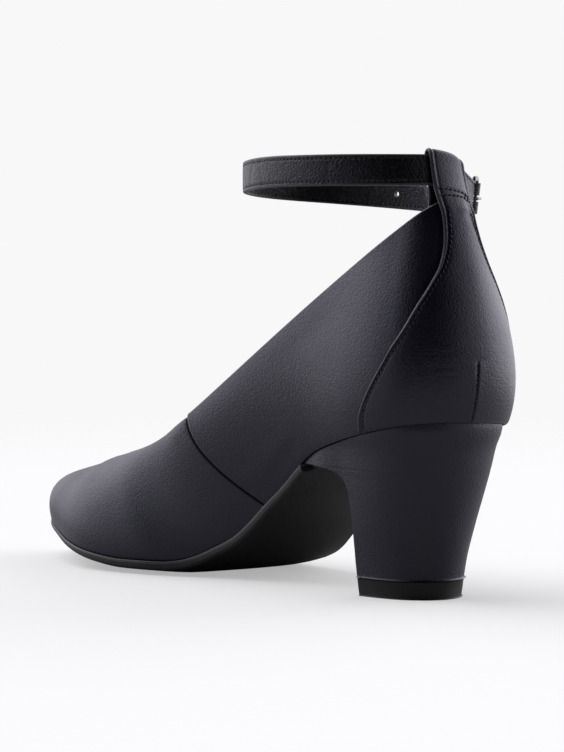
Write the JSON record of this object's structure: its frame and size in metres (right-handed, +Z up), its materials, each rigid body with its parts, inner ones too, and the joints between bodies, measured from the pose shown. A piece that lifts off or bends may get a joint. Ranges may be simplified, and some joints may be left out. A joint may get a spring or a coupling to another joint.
{
  "type": "ankle strap pump",
  "caption": "Right ankle strap pump in dark navy leather, with a closed round toe, covered block heel and a strap held by a loop at the back.",
  "frame": {"origin": "centre of the heel's ground face", "axes": "+X from the heel to the toe, +Y to the inner (medial) side, +Z up"},
  "size_m": [0.242, 0.0776, 0.1579],
  "materials": {
    "upper_leather": "fine grained navy leather, satin",
    "sole_rubber": "matt black rubber",
    "lining_leather": "matt dark lining leather",
    "buckle_metal": "polished gunmetal"
  },
  "bodies": {
    "root": {"upper": "upper_leather", "heel_counter": "upper_leather", "ankle_strap": "upper_leather", "heel_block": "upper_leather", "outsole": "sole_rubber", "top_piece": "sole_rubber", "insole": "lining_leather", "buckle_frame": "buckle_metal", "buckle_prong": "buckle_metal"}
  },
  "joints": []
}
